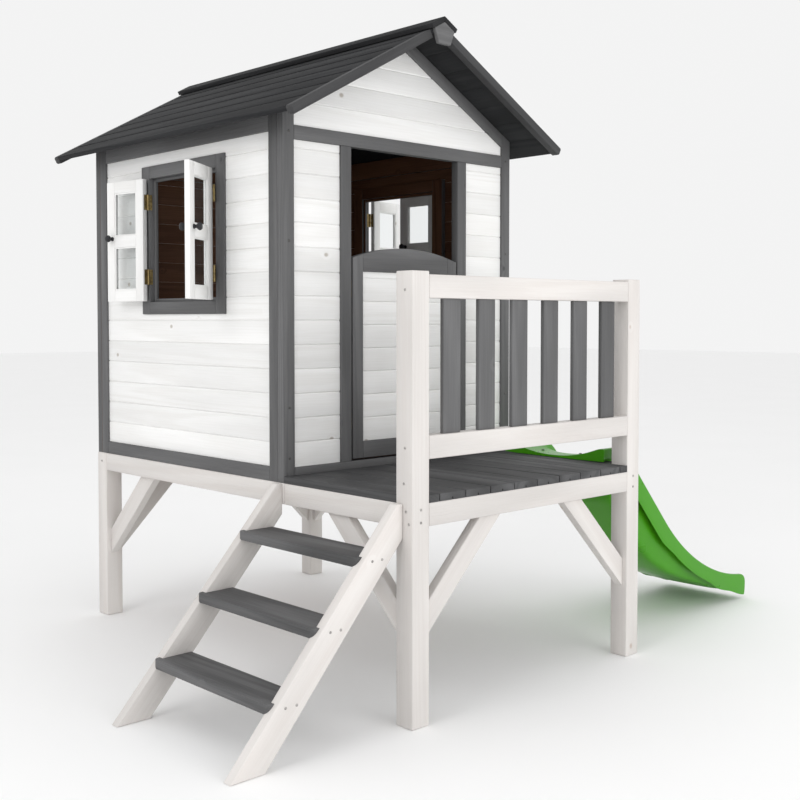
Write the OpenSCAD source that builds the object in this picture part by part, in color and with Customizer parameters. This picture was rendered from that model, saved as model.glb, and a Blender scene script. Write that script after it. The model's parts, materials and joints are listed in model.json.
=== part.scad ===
// Raised wooden playhouse on four legs, with a verandah deck, railing, ladder, half door,
// two double-casement windows and a moulded slide.
// X runs along the front wall, Y from the railing to the back wall, Z up.
// The origin is on the ground, in the middle of the whole outline.

/* [Base] */
// Width of the base over its legs
base_w = 942; // [900:1:1000]
// Depth of the house from front wall to back wall
house_d = 1036; // [1000:1:1100]
// Depth of the deck in front of the house
deck_d = 512; // [480:1:540]
// Thickness of legs, posts and beams
leg_t = 58; // [50:1:62]
// Height of the beam tops, which carry floor and house
beam_top = 553; // [540:1:580]
// Height of the two railing posts
post_h = 1122; // [1100:1:1180]
// Where the lower edge of each brace meets its leg
brace_z = 212; // [180:1:240]
// Thickness of a brace
brace_t = 28; // [20:1:30]

/* [Deck] */
// Number of deck boards
deck_boards_n = 10; // [8:1:12]
// Thickness of the deck boards
deck_t = 19; // [16:1:20]
// Gap between two deck boards
deck_gap = 3.5; // [1:0.5:5]
// Thickness of the floor boards in the house
floor_t = 16; // [12:1:20]
// Number of floor boards
floor_boards_n = 10; // [8:1:12]

/* [Railing] */
// Height of both rails
rail_h = 58; // [50:1:60]
// Thickness of both rails
rail_t = 40; // [30:1:44]
// Underside of the lower rail
rail_low_z = 661; // [640:1:680]
// Number of upright slats
slats_n = 6; // [5:1:7]
// Width of a slat
slat_w = 62; // [58:1:76]
// Thickness of a slat
slat_t = 12; // [10:1:18]
// How far the slats stand back from the front of the rails
slat_in = 8; // [2:1:14]
// Spacing of the slats
slat_pitch = 130; // [120:1:132]

/* [Walls] */
// Width of the house over its walls
house_w = 936; // [900:1:940]
// Width of the frame members
frame_w = 39; // [34:1:44]
// Thickness of the frames, through the wall
frame_t = 27; // [24:1:32]
// Thickness of the wall boards
board_t = 12; // [10:1:14]
// How far the wall boards lie behind the frames
board_inset = 6; // [4:1:8]
// Height of one wall board
board_pitch = 68; // [60:1:80]
// Depth of the V joint between two boards
groove = 2.5; // [1:0.5:4]
// Height of the bottom rails
sill_h = 40; // [36:1:44]
// Underside of the beam over the door
header_z = 1500; // [1480:1:1520]
// Underside of the top rails of the side walls
plate_z = 1525; // [1515:1:1540]
// Width of the doorway
doorway_w = 442; // [420:1:450]

/* [Windows] */
// Width of a window opening
window_w = 370; // [360:1:380]
// Height of a window opening
window_h = 390; // [380:1:400]
// Middle of a window, from the front wall
window_y = 510; // [500:1:520]
// Underside of a window opening
window_z = 1060; // [1050:1:1080]
// Width of the upright window frame members
casing_w = 45; // [40:1:50]
// Height of the level window frame members
casing_h = 39; // [34:1:42]
// Thickness of the window frames, through the wall
casing_t = 34; // [30:1:38]
// Width and depth of the stop bead behind the casements
bead = 10; // [8:1:12]
// Thickness of a casement
casement_t = 16; // [15:1:20]
// Gap round a casement
casement_gap = 2; // [1.5:0.5:3]
// Width of the casement stiles and rails
casement_rail = 37; // [30:1:42]
// Thickness of a pane
pane_t = 3; // [2:0.5:4]

/* [Open angles as it stands] */
// Casement nearest the door in the left wall
open_left_near = 126; // [0:1:170]
// Casement nearest the back in the left wall
open_left_far = 172; // [0:1:172]
// Casement nearest the door in the right wall
open_right_near = 0; // [0:1:170]
// Casement nearest the back in the right wall
open_right_far = 103; // [0:1:170]

/* [Hinges] */
// Radius of a hinge pin
pin_r = 2; // [1.5:0.5:2.5]
// Outer radius of a hinge knuckle
knuckle_r = 4; // [3.5:0.5:5]
// Running clearance between pin and knuckle
pin_clear = 0.06; // [0.02:0.01:0.1]
// Height of a hinge
hinge_h = 48; // [40:1:60]
// Width of a hinge leaf on a thick door or frame
leaf_w = 15; // [12:1:16]
// Thickness of a hinge leaf
leaf_t = 1; // [0.8:0.1:1]

/* [Door] */
// Gap between the half door and its doorway
door_gap = 6; // [4:1:8]
// Height of the door's sides, where the arch springs
door_side_h = 584; // [560:1:600]
// Rise of the arch over the door
arch_rise = 34; // [20:1:40]
// Width of the door's frame members
door_rail = 39; // [34:1:44]
// Height of the door's bottom rail
door_foot = 49; // [40:1:60]

/* [Roof] */
// Pitch of the roof, in degrees
roof_pitch = 29; // [27:0.5:31]
// Height where the two undersides of the boards would meet
roof_under_z = 1847; // [1840:1:1860]
// Length of a slope, from ridge to eave
slope_len = 625; // [600:1:640]
// Number of boards on a slope
roof_boards_n = 7; // [6:1:8]
// Thickness of a roof board at its lower edge
roof_board_t = 15; // [13:1:18]
// How much a roof board thins towards its upper edge
roof_taper = 2; // [1:0.5:4]
// How far the roof stands out over the front wall
roof_front = 147; // [100:1:160]
// How far the roof stands out over the back wall
roof_back = 134; // [100:1:140]
// Width of a verge board, across the edge of the roof
verge_w = 26; // [18:1:32]
// How far the verge boards reach below the roof boards
verge_drop = 10; // [6:1:14]
// Width of a ridge cap board
cap_w = 60; // [50:1:70]
// Thickness of a ridge cap board
cap_t = 14; // [10:1:16]
// Thickness of the ridge end blocks
block_t = 13; // [12:1:24]

/* [Ladder] */
// Slope of the ladder, in degrees
ladder_pitch = 48.2; // [46:0.2:50]
// Width of a ladder side board
stringer_w = 70; // [60:1:80]
// Thickness of a ladder side board
stringer_t = 28; // [24:1:30]
// How far the ladder's underside meets the base below the beam tops
ladder_drop = 85; // [70:1:100]
// Rise from one tread to the next
tread_rise = 146; // [140:1:150]
// Number of treads
treads_n = 3; // [2:1:3]
// Depth of a tread
tread_d = 105; // [95:1:110]
// Thickness of a tread
tread_t = 23; // [20:1:25]
// How far a tread stands out in front of the side boards
tread_nose = 20; // [16:1:22]

/* [Slide] */
// Width of the slide over its rims, on the deck
slide_w = 394; // [380:1:400]
// Width of the slide over its rims, down the slope
slide_run_w = 314; // [300:1:340]
// Wall thickness of the moulding
slide_t = 5; // [4:0.5:6]
// Height of the rims over the deck
slide_rise = 41; // [38:1:44]
// Depth of the trough on the slope
trough_d = 128; // [110:1:135]
// Depth of the trough at the foot
trough_foot_d = 62; // [58:1:70]
// Steepest slope, in degrees
slide_pitch = 48; // [46:1:50]
// Radius of the bend at the top, along the rims
bend_top_r = 88; // [80:1:100]
// Length of the straight stretch, along the rims
slide_straight = 325; // [310:1:335]
// Radius of the long curve at the foot, along the rims
bend_foot_r = 780; // [770:1:790]
// Slope where the slide ends, in degrees
slide_end = 5; // [4:1:8]

/* [Hidden] */
$fn = 48;

WHITE = "white";
WASHED = "linen";
GREY = "dimgray";
DARK = "darkslategray";
GREEN = "limegreen";
BRASS = "goldenrod";

joint = 0.3;            // hairline between two members that meet
half_base = base_w / 2;
half_house = house_w / 2;
leg_in = half_base - leg_t;
beam_z = beam_top - leg_t;
deck_top = beam_top + deck_t;
brace_run = beam_z - brace_z;
brace_w = leg_t * sqrt(2);
rail_top_z = post_h - rail_h - 8;
slope = tan(roof_pitch);
roof_y0 = -roof_front;
roof_y1 = house_d + roof_back;
verge_u0 = 46;          // where the verge boards start, from the ridge
rake_h = 42;            // height of the sloping gable members, measured upright
sill_top = beam_top + sill_h;
stile_in = half_house - frame_w;
door_post_w = 39;
door_w = doorway_w - 2 * door_gap;
door_z = sill_top + door_gap;
door_spring = door_z + door_side_h;
arch_r = (pow(door_w / 2, 2) + pow(arch_rise, 2)) / (2 * arch_rise);
board_out = half_house - board_inset;
casement_w = (window_w - 3 * casement_gap) / 2;
casement_h = window_h - 2 * casement_gap;
pin_out = half_house + knuckle_r;
pin_side = window_w / 2 - 0.6;
hinge_z_low = window_z + 79;
hinge_z_high = window_z + window_h - 75;
door_pin_x = -doorway_w / 2 + door_gap / 2;
door_pin_y = frame_t + knuckle_r;
door_hinge_z = [door_z + 110, door_spring - 90];
knob_in = 28;           // knob axis from a casement's free edge
stringer_x = stringer_w / sin(ladder_pitch);
ladder_foot = -half_base - (beam_top - ladder_drop) / tan(ladder_pitch) - stringer_x;
stringer_y = [3, -479];
slide_y = -228;
slide_x0 = half_base - 56;
rim_z = deck_top + slide_rise;
bend_x = half_base + 57;
straight_x = bend_x + bend_top_r * sin(slide_pitch);
straight_z = rim_z - bend_top_r * (1 - cos(slide_pitch));
foot_x = straight_x + slide_straight * cos(slide_pitch);
foot_z = straight_z - slide_straight * sin(slide_pitch);
lead_len = bend_x - slide_x0;
lip_len = half_base + 1 - slide_x0;
bend_len = bend_top_r * slide_pitch * PI / 180;
foot_len = bend_foot_r * (slide_pitch - slide_end) * PI / 180;
rim_len = lead_len + bend_len + slide_straight + foot_len;
tip_r = 26;             // rounding of the rims at the slide's tip
end_t = 5;              // thickness of the upright end wall on the deck
bend_end = lead_len + bend_len;
slide_steps = concat([0, end_t, end_t + 0.6, 30, lip_len, 85],
                     [for (i = [0 : 6]) lead_len + i * bend_len / 6],
                     [for (i = [1 : 24]) bend_end + i * (rim_len - tip_r - bend_end) / 24],
                     [for (i = [1 : 5]) rim_len - tip_r * (1 - sin(i * 18))]);
head_rise = 1.75;       // how far a wood screw's head stands out
back_y = roof_y1 + block_t;
slide_end_x = max([for (s = slide_steps) for (p = section(s)) section_point(s, p)[0]]);
shift = [-(ladder_foot + slide_end_x) / 2, -(back_y - deck_d - head_rise) / 2, 0];

// ---- shared helpers ----

// Everything is drawn from the front wall's corner line and moved to the origin here.
module placed(colour) {
    color(colour) translate(shift) children();
}

// A plain box between two corners.
module box(low, high) {
    translate(low) cube(high - low);
}

// A slab whose outline lies in the XZ plane, between two places along Y.
module slab_xz(y0, y1, outline) {
    translate([0, y1, 0]) rotate([90, 0, 0]) linear_extrude(y1 - y0) polygon(outline);
}

// The same parts mirrored for the other side of the house.
module both_sides() {
    children();
    mirror([1, 0, 0]) children();
}

function roof_z(x) = roof_under_z - joint - slope * abs(x);
function rake_z(x) = roof_z(x) - rake_h;

// ---- base ----

module leg(side, y0, height) {
    x0 = side < 0 ? -half_base : leg_in;
    box([x0, y0, 0], [x0 + leg_t, y0 + leg_t, height]);
}

module leg_rear_left() {
    placed(WASHED) leg(-1, house_d - leg_t, beam_top);
}

module leg_rear_right() {
    placed(WASHED) leg(1, house_d - leg_t, beam_top);
}

module post_front_left() {
    placed(WASHED) leg(-1, -deck_d, post_h);
}

module post_front_right() {
    placed(WASHED) leg(1, -deck_d, post_h);
}

module cross_beam(y0) {
    box([-leg_in + joint, y0, beam_z], [leg_in - joint, y0 + leg_t, beam_top]);
}

module beam_front() {
    placed(WASHED) cross_beam(-deck_d);
}

module beam_middle() {
    placed(WASHED) cross_beam(0);
}

module beam_rear() {
    placed(WASHED) cross_beam(house_d - leg_t);
}

module side_beam(y0, y1) {
    box([-half_base, y0, beam_z], [-leg_in, y1, beam_top]);
}

module deck_side_beams() {
    placed(WASHED) both_sides() side_beam(-deck_d + leg_t + joint, -5 - joint);
}

module house_side_beams() {
    placed(WASHED) both_sides() side_beam(-5, house_d - leg_t - joint);
}

// One brace at 45 degrees, drawn in its own plane from the leg's inner face.
module brace() {
    inner = brace_run - brace_w;
    rotate([90, 0, 0]) linear_extrude(brace_t, center = true)
        polygon([[joint, brace_z], [joint, brace_z + brace_w], [inner, beam_z - joint],
                 [brace_run, beam_z - joint]]);
}

// The two braces of one leg: one under the cross beam, one under the side beam.
module brace_pair(y, inward) {
    translate([-leg_in, y, 0]) brace();
    translate([-half_base + leg_t / 2, y + inward * leg_t / 2, 0])
        rotate([0, 0, inward * 90]) brace();
}

module braces() {
    placed(WASHED) both_sides() {
        brace_pair(-deck_d + leg_t / 2, 1);
        brace_pair(house_d - leg_t / 2, -1);
    }
}

// ---- deck and floor ----

// A deck board's end profile, with eased edges and a groove along the middle underneath.
module deck_profile(width) {
    ease = 2;
    mid = width / 2;
    polygon([[0, 0], [mid - 2, 0], [mid - 2, 7], [mid + 2, 7], [mid + 2, 0], [width, 0],
             [width, deck_t - ease], [width - ease, deck_t], [ease, deck_t],
             [0, deck_t - ease]]);
}

module deck_boards() {
    pitch = base_w / deck_boards_n;
    placed(DARK) difference() {
        for (i = [0 : deck_boards_n - 1])
            translate([-half_base + i * pitch + deck_gap / 2, -joint, beam_top])
                rotate([90, 0, 0]) linear_extrude(deck_d - joint)
                    deck_profile(pitch - deck_gap);
        both_sides() box([-half_base - 1, -deck_d - 1, beam_top - 1],
                         [-leg_in + joint, -deck_d + leg_t + joint, deck_top + 1]);
    }
}

module floor_boards() {
    y0 = frame_t + joint;
    pitch = (house_d - 2 * y0) / floor_boards_n;
    half = half_house - frame_t - joint;
    placed("peru") for (i = [0 : floor_boards_n - 1])
        box([-half, y0 + i * pitch, beam_top],
            [half, y0 + (i + 1) * pitch - deck_gap, beam_top + floor_t]);
}

// ---- railing ----

module rail(z0) {
    box([-leg_in + joint, -deck_d, z0], [leg_in - joint, -deck_d + rail_t, z0 + rail_h]);
}

module railing_rails() {
    placed(WASHED) {
        rail(rail_low_z);
        rail(rail_top_z);
    }
}

module railing_slats() {
    y0 = -deck_d + slat_in;
    placed(GREY) for (i = [0 : slats_n - 1])
        translate([(i - (slats_n - 1) / 2) * slat_pitch - slat_w / 2, y0, 0])
            box([0, 0, rail_low_z + rail_h + joint], [slat_w, slat_t, rail_top_z - joint]);
}

// ---- wall frames and boards ----

// The end profile of a stack of boards: flat inside, V joints outside, outside at x = 0.
function joint_points(z0, z1) =
    [for (z = [z0 + board_pitch : board_pitch : z1 - groove])
        each [[0, z - groove], [groove, z], [0, z + groove]]];

module board_profile(z0, z1) {
    polygon(concat([[board_t, z0], [0, z0]], joint_points(z0, z1), [[0, z1], [board_t, z1]]));
}

// A panel of boards facing -Y, from x0 to x1.
module boards_facing_front(x0, x1, z0, z1) {
    translate([x0, board_inset, 0]) rotate([90, 0, 90]) linear_extrude(x1 - x0)
        board_profile(z0, z1);
}

// A panel of boards facing -X, from y0 to y1.
module boards_facing_left(y0, y1, z0, z1) {
    translate([-board_out, y1, 0]) rotate([90, 0, 0]) linear_extrude(y1 - y0)
        board_profile(z0, z1);
}

// Corner stiles and sloping gable members, as they face -Y.
module gable_frame() {
    both_sides() {
        slab_xz(0, frame_t, [[-half_house, beam_top], [-stile_in, beam_top],
                             [-stile_in, roof_z(stile_in)],
                             [-half_house, roof_z(half_house)]]);
        slab_xz(0, frame_t, [[-stile_in + joint, rake_z(stile_in)], [-joint / 2, rake_z(0)],
                             [-joint / 2, roof_z(0)],
                             [-stile_in + joint, roof_z(stile_in)]]);
    }
}

// A level member between the corner stiles.
module wall_rail(z0, z1) {
    box([-stile_in + joint, 0, z0], [stile_in - joint, frame_t, z1]);
}

module gable_boards() {
    intersection() {
        boards_facing_front(-stile_in + joint, stile_in - joint,
                            header_z + frame_w, roof_under_z);
        slab_xz(0, frame_t, [[-half_house, 0], [half_house, 0],
                             [half_house, rake_z(half_house) - joint],
                             [0, rake_z(0) - joint],
                             [-half_house, rake_z(half_house) - joint]]);
    }
}

module front_wall_frame() {
    post_z1 = header_z - joint;
    placed(GREY) {
        gable_frame();
        wall_rail(beam_top, sill_top);
        wall_rail(header_z, header_z + frame_w - joint);
        both_sides() box([doorway_w / 2, 0, sill_top + joint],
                         [doorway_w / 2 + door_post_w, frame_t, post_z1]);
    }
}

module front_wall_boards() {
    placed(WHITE) both_sides()
        boards_facing_front(-stile_in + joint, -doorway_w / 2 - door_post_w - joint,
                            sill_top + joint, header_z - joint);
}

module front_gable_boards() {
    placed(WHITE) gable_boards();
}

// The back wall faces +Y: the front wall's parts turned round.
module turned_to_back() {
    translate([0, house_d, 0]) rotate([0, 0, 180]) children();
}

module rear_wall_frame() {
    placed(GREY) turned_to_back() {
        gable_frame();
        wall_rail(beam_top, sill_top);
        wall_rail(header_z, header_z + frame_w - joint);
    }
}

module rear_wall_boards() {
    placed(WHITE) turned_to_back()
        boards_facing_front(-stile_in + joint, stile_in - joint,
                            sill_top + joint, header_z - joint);
}

module rear_gable_boards() {
    placed(WHITE) turned_to_back() gable_boards();
}

side_y0 = frame_t + joint;
side_y1 = house_d - frame_t - joint;
plate_top = roof_z(half_house);

module side_wall_frame() {
    x0 = -half_house;
    x1 = x0 + frame_t;
    box([x0, side_y0, beam_top], [x1, side_y0 + frame_w, plate_top]);
    box([x0, side_y1 - frame_w, beam_top], [x1, side_y1, plate_top]);
    box([x0, side_y0 + frame_w + joint, beam_top],
        [x1, side_y1 - frame_w - joint, sill_top]);
    box([x0, side_y0 + frame_w + joint, plate_z],
        [x1, side_y1 - frame_w - joint, plate_top]);
}

module side_wall_boards() {
    half_hole = window_w / 2 + casing_w + joint;
    difference() {
        boards_facing_left(side_y0 + frame_w + joint, side_y1 - frame_w - joint,
                           sill_top + joint, plate_z - joint);
        box([-half_house - 1, window_y - half_hole, window_z - casing_h - joint],
            [-board_out + board_t + 1, window_y + half_hole,
             window_z + window_h + casing_h + joint]);
    }
}

module left_wall_frame() {
    placed(GREY) side_wall_frame();
}

module right_wall_frame() {
    placed(GREY) mirror([1, 0, 0]) side_wall_frame();
}

module left_wall_boards() {
    placed(WHITE) side_wall_boards();
}

module right_wall_boards() {
    placed(WHITE) mirror([1, 0, 0]) side_wall_boards();
}

// ---- windows ----

// Four frame members round the opening, and the bead that the casements close against.
module window_frame() {
    x0 = -half_house;
    x1 = x0 + casing_t;
    bead_x = x0 + casement_t + 1;
    y0 = window_y - window_w / 2;
    y1 = window_y + window_w / 2;
    z0 = window_z;
    z1 = window_z + window_h;
    for (y = [y0 - casing_w, y1])
        box([x0, y, z0 - casing_h], [x1, y + casing_w, z1 + casing_h]);
    for (z = [z0 - casing_h, z1])
        box([x0, y0 + joint, z], [x1, y1 - joint, z + casing_h]);
    for (y = [y0 + joint, y1 - joint - bead])
        box([bead_x, y, z0 + joint], [bead_x + bead, y + bead, z1 - joint]);
    for (z = [z0 + joint, z1 - joint - bead])
        box([bead_x, y0 + bead + 2 * joint, z],
            [bead_x + bead, y1 - bead - 2 * joint, z + bead]);
}

module left_window_frame() {
    placed(GREY) window_frame();
}

module right_window_frame() {
    placed(GREY) mirror([1, 0, 0]) window_frame();
}

// The place of one casement: side -1 left or 1 right, way 1 near or -1 far, opened by angle.
// Children are drawn from the hinge pin, closed, reaching +Y and with their outside to -X.
module hung(side, way, angle) {
    flip = side > 0 ? [1, 0, 0] : [0, 0, 0];
    turn = way < 0 ? [0, 1, 0] : [0, 0, 0];
    mirror(flip) translate([-pin_out, window_y, window_z]) mirror(turn)
        translate([0, -pin_side, 0]) rotate([0, 0, angle]) children();
}

casement_y0 = casement_gap + pin_side - window_w / 2;
knob_z = window_h / 2 + 10;
pane_h = (casement_h - 3 * casement_rail) / 2;
pane_w = casement_w - 2 * casement_rail;

module at_panes() {
    for (i = [0, 1])
        translate([knuckle_r + casement_t / 2, casement_y0 + casement_w / 2,
                   casement_gap + casement_rail + pane_h / 2
                   + i * (pane_h + casement_rail)])
            children();
}

module casement() {
    knob_y = casement_y0 + casement_w - knob_in;
    difference() {
        translate([knuckle_r, casement_y0, casement_gap])
            cube([casement_t, casement_w, casement_h]);
        at_panes() cube([casement_t + 2, pane_w, pane_h], center = true);
        at_panes() cube([pane_t + 0.4, pane_w + 10.4, pane_h + 10.4], center = true);
        translate([knuckle_r - 1, knob_y, knob_z]) rotate([0, 90, 0])
            cylinder(h = casement_t + 2, r = 3.3);
        for (z = [hinge_z_low, hinge_z_high] - [window_z, window_z])
            translate([knuckle_r - 1, casement_y0 - 1, z - hinge_h / 2 - joint])
                cube([casement_t - 2, 1 + leaf_t - 0.4 + joint, hinge_h + 2 * joint]);
    }
}

module panes() {
    at_panes() cube([pane_t, pane_w + 10, pane_h + 10], center = true);
}

// A turned knob on both faces of the casement, on one spindle.
module casement_knob() {
    out = 24;
    translate([knuckle_r + casement_t / 2, casement_y0 + casement_w - knob_in, knob_z])
        rotate([0, 90, 0]) {
            cylinder(h = casement_t + 2 * out - 8, r = 3, center = true);
            for (s = [0, 1]) mirror([0, 0, s])
                translate([0, 0, casement_t / 2 + joint]) rotate_extrude()
                    polygon([[0, 0], [7, 0], [7, 2], [5, 5], [5, 9], [9.5, 13], [11.5, 17],
                             [11, 21], [8, out], [0, out + 1]]);
        }
}

module left_near_casement() {
    placed(WHITE) hung(-1, 1, open_left_near) casement();
}

module left_far_casement() {
    placed(WHITE) hung(-1, -1, open_left_far) casement();
}

module right_near_casement() {
    placed(WHITE) hung(1, 1, open_right_near) casement();
}

module right_far_casement() {
    placed(WHITE) hung(1, -1, open_right_far) casement();
}

module left_near_panes() {
    placed("lightcyan") hung(-1, 1, open_left_near) panes();
}

module left_far_panes() {
    placed("lightcyan") hung(-1, -1, open_left_far) panes();
}

module right_near_panes() {
    placed("lightcyan") hung(1, 1, open_right_near) panes();
}

module right_far_panes() {
    placed("lightcyan") hung(1, -1, open_right_far) panes();
}

module left_near_knob() {
    placed(DARK) hung(-1, 1, open_left_near) casement_knob();
}

module left_far_knob() {
    placed(DARK) hung(-1, -1, open_left_far) casement_knob();
}

module right_near_knob() {
    placed(DARK) hung(1, 1, open_right_near) casement_knob();
}

module right_far_knob() {
    placed(DARK) hung(1, -1, open_right_far) casement_knob();
}

// ---- hinges ----

// Knuckles on the pin line at z = 0, in the stretches that `which` names, with a leaf that
// reaches `leaf_x` along +X at the height of each stretch. Five equal stretches a hinge.
module hinge_half(which, leaf_y, reach) {
    stretch = hinge_h / 5;
    for (i = which) translate([0, 0, -hinge_h / 2 + i * stretch + 0.15]) difference() {
        union() {
            cylinder(h = stretch - 0.3, r = knuckle_r);
            translate([0, leaf_y, 0]) cube([reach, leaf_t, stretch - 0.3]);
        }
        translate([0, 0, -1]) cylinder(h = stretch + 2, r = pin_r + pin_clear);
    }
    translate([knuckle_r + 0.5, leaf_y, -hinge_h / 2])
        cube([reach - knuckle_r - 0.5, leaf_t, hinge_h]);
}

module hinge_pin() {
    cylinder(h = hinge_h + 2, r = pin_r, center = true);
}

module at_window_hinges() {
    for (z = [hinge_z_low, hinge_z_high]) translate([0, 0, z - window_z]) children();
}

module fixed_window_leaves() {
    for (side = [-1, 1], way = [-1, 1]) hung(side, way, 0)
        at_window_hinges() hinge_half([0, 2, 4], -0.6, leaf_w);
}

// The moving leaf lies in the casement's edge.
module moving_window_leaves() {
    at_window_hinges() hinge_half([1, 3], casement_y0 - 0.4, leaf_w);
}

module at_door_hinges() {
    for (z = door_hinge_z) translate([door_pin_x, door_pin_y, z]) children();
}

module hinge_fixed_leaves() {
    placed(BRASS) {
        fixed_window_leaves();
        at_door_hinges() rotate([0, 0, -90]) hinge_half([0, 2, 4], -door_gap / 2, 24);
    }
}

module hinge_pins() {
    placed(BRASS) {
        for (side = [-1, 1], way = [-1, 1]) hung(side, way, 0) at_window_hinges() hinge_pin();
        at_door_hinges() hinge_pin();
    }
}

module left_near_hinge_leaves() {
    placed(BRASS) hung(-1, 1, open_left_near) moving_window_leaves();
}

module left_far_hinge_leaves() {
    placed(BRASS) hung(-1, -1, open_left_far) moving_window_leaves();
}

module right_near_hinge_leaves() {
    placed(BRASS) hung(1, 1, open_right_near) moving_window_leaves();
}

module right_far_hinge_leaves() {
    placed(BRASS) hung(1, -1, open_right_far) moving_window_leaves();
}

module door_hinge_leaves() {
    placed(BRASS) at_door_hinges() rotate([0, 0, -90])
        hinge_half([1, 3], door_gap / 2 - leaf_t, 24);
}

// ---- half door ----

// Everything under the arch over the door.
module under_arch() {
    translate([0, frame_t + 1, door_spring + arch_rise - arch_r]) rotate([90, 0, 0])
        cylinder(h = frame_t + 2, r = arch_r, $fn = 180);
}

module door_frame() {
    half = door_w / 2;
    inner = half - door_rail;
    top = door_spring - door_rail;
    placed(GREY) {
        intersection() {
            union() {
                both_sides() box([-half, 0, door_z], [-inner, frame_t, door_spring + arch_rise]);
                box([-inner + joint, 0, top], [inner - joint, frame_t, door_spring + arch_rise]);
            }
            under_arch();
        }
        box([-inner + joint, 0, door_z], [inner - joint, frame_t, door_z + door_foot]);
    }
}

module door_boards() {
    inner = door_w / 2 - door_rail;
    placed(WHITE) boards_facing_front(-inner + joint, inner - joint,
                                      door_z + door_foot + joint,
                                      door_spring - door_rail - joint);
}

// ---- roof ----

// Drawn on the left slope: x runs down the slope from the ridge, y is out of the slope.
module on_left_slope() {
    translate([0, roof_y1, roof_under_z]) rotate([90, 0, 0]) mirror([1, 0, 0])
        rotate([0, 0, -roof_pitch]) children();
}

// End profile of all the boards on a slope.
module roof_boards() {
    pitch = slope_len / roof_boards_n;
    thin = roof_board_t - roof_taper;
    lean = tan(roof_pitch);
    for (i = [0 : roof_boards_n - 1]) {
        u0 = i * pitch;
        u1 = u0 + pitch - joint;
        top0 = i == 0 ? -thin * lean : u0;
        polygon([[u0 + joint, 0], [u1, 0], [u1, roof_board_t], [top0 + joint, thin]]);
    }
}

// The part of a slope between the verge boards, and all of it next to the ridge.
module roof_boards_on_slope() {
    inset = verge_w + joint;
    depth = roof_y1 - roof_y0;
    intersection() {
        linear_extrude(depth) roof_boards();
        union() {
            translate([0, 0, inset]) linear_extrude(depth - 2 * inset)
                translate([-roof_board_t, -1]) square([slope_len + roof_board_t, roof_board_t + 2]);
            linear_extrude(depth) translate([-roof_board_t, -1])
                square([roof_board_t + verge_u0 - joint, roof_board_t + 2]);
        }
    }
}

module roof_boards_left() {
    placed(DARK) on_left_slope() roof_boards_on_slope();
}

module roof_boards_right() {
    placed(DARK) mirror([1, 0, 0]) on_left_slope() roof_boards_on_slope();
}

// A board along the edge of a slope, as high as the roof boards and a little below them.
module verge_board() {
    ease = 4;
    linear_extrude(verge_w)
        polygon([[verge_u0, -verge_drop], [slope_len - ease, -verge_drop],
                 [slope_len, ease - verge_drop], [slope_len, roof_board_t - ease],
                 [slope_len - ease, roof_board_t], [verge_u0, roof_board_t]]);
}

module verge_boards() {
    placed(DARK) both_sides() on_left_slope() {
        verge_board();
        translate([0, 0, roof_y1 - roof_y0 - verge_w]) verge_board();
    }
}

// Three battens under the boards of a slope, inside the house.
module roof_battens() {
    width = 36;
    depth = 22;
    from_ridge = 34;
    reach = 490;
    places = [frame_t + 8, house_d / 2 - width / 2, house_d - frame_t - 8 - width];
    placed(DARK) both_sides() on_left_slope() for (y = places)
        translate([from_ridge, -depth - joint, roof_back + y])
            cube([reach - from_ridge, depth, width]);
}

// Two boards that meet over the ridge.
module ridge_cap() {
    lift = roof_board_t + 1;
    top = lift + cap_t;
    lean = tan(roof_pitch);
    low_end = cap_w - top * lean;
    depth = roof_y1 - roof_y0 + 2 * block_t;
    placed(DARK) both_sides() on_left_slope() translate([0, 0, -block_t])
        linear_extrude(depth)
            polygon([[-lift * lean + joint, lift], [low_end, lift], [low_end, top],
                     [-top * lean + joint, top]]);
}

// Five-sided blocks that close the ridge at both ends, under the cap.
module ridge_end_blocks() {
    top = roof_under_z + roof_board_t / cos(roof_pitch) + joint;
    outline = [[0, top], [-40, top - 40 * slope], [-24, top - 64], [24, top - 64],
               [40, top - 40 * slope]];
    placed(GREY) {
        slab_xz(roof_y0 - block_t, roof_y0 - joint, outline);
        slab_xz(roof_y1 + joint, roof_y1 + block_t, outline);
    }
}

// ---- ladder ----

module stringer(y0, extra) {
    run = beam_top / tan(ladder_pitch);
    back_x = ladder_foot + stringer_x;
    slab_xz(y0 - extra, y0 + stringer_t + extra,
            [[ladder_foot - extra, 0], [back_x + extra, 0],
             [-half_base - joint + extra, beam_top - ladder_drop],
             [-half_base - joint + extra, beam_top],
             [ladder_foot - extra + run, beam_top]]);
}

module ladder_side_left() {
    placed(WASHED) stringer(stringer_y[0], 0);
}

module ladder_side_right() {
    placed(WASHED) stringer(stringer_y[1], 0);
}

// A tread reaches half over both side boards, in front of them, with rounded corners.
module tread(top) {
    r = 16;
    lap = stringer_t / 2;
    y0 = stringer_y[1] + stringer_t - lap;
    y1 = stringer_y[0] + lap;
    x0 = ladder_foot + top / tan(ladder_pitch) - tread_nose;
    difference() {
        translate([x0, 0, top - tread_t]) linear_extrude(tread_t) {
            translate([0, y0 + r]) square([tread_d, y1 - y0 - 2 * r]);
            translate([r, y0]) square([tread_d - r, y1 - y0]);
            translate([r, y0 + r]) circle(r);
            translate([r, y1 - r]) circle(r);
        }
        for (y = stringer_y) stringer(y, joint);
    }
}

module ladder_treads() {
    placed(DARK) for (i = [1 : treads_n]) tread(i * tread_rise);
}

// ---- slide ----

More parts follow.
